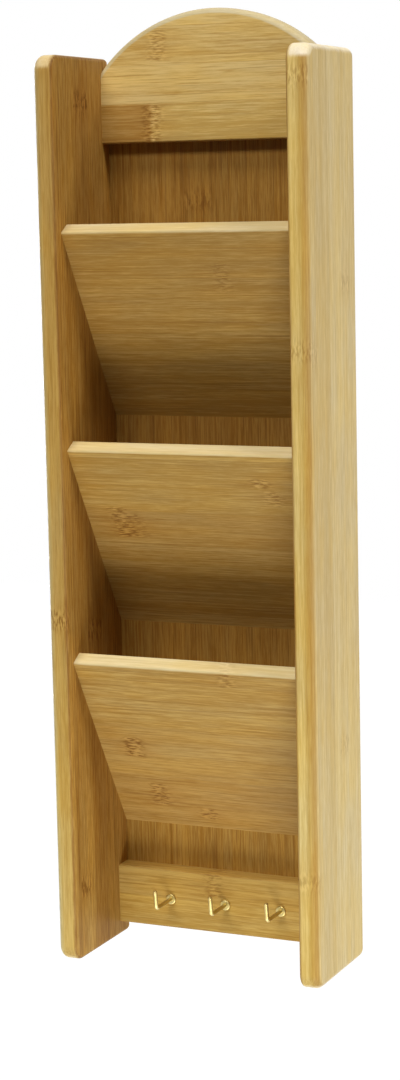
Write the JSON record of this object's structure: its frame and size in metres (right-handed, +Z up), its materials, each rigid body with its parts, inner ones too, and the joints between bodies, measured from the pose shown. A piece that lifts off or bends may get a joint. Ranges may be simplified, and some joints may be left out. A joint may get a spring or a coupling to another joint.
{
  "type": "letter rack",
  "caption": "Tall wall-hung letter rack in laminated bamboo, with slanted open pockets between rounded sides, an arched top rail and a lower rail carrying small brass key hooks.",
  "frame": {"origin": "on the wall plane, midway between the round entries of the two keyhole hangers in the back of the arched top rail", "axes": "+X to the right of someone facing the rack, +Y into the wall, so that the open front faces -Y, and +Z up"},
  "size_m": [0.1524, 0.068, 0.5081],
  "materials": {
    "bamboo_sides": "satin lacquer",
    "bamboo_rails": "satin lacquer",
    "bamboo_pockets": "satin lacquer",
    "bamboo_back": "satin lacquer",
    "dowel_wood": "plain",
    "brass": "polished",
    "plated_steel": "zinc plated"
  },
  "bodies": {
    "root": {"left_side_panel": "bamboo_sides", "right_side_panel": "bamboo_sides", "arched_top_rail": "bamboo_rails", "key_rail": "bamboo_rails", "upper_pocket_front": "bamboo_pockets", "middle_pocket_front": "bamboo_pockets", "lower_pocket_front": "bamboo_pockets", "back_panel": "bamboo_back", "key_hook_left": "brass", "key_hook_middle": "brass", "key_hook_right": "brass", "top_rail_dowels": "dowel_wood", "upper_pocket_dowels": "dowel_wood", "middle_pocket_dowels": "dowel_wood", "lower_pocket_dowels": "dowel_wood", "key_rail_dowels": "dowel_wood", "back_panel_brads": "plated_steel", "left_hanger_plate": "plated_steel", "right_hanger_plate": "plated_steel", "hanger_plate_screws": "plated_steel"}
  },
  "joints": []
}
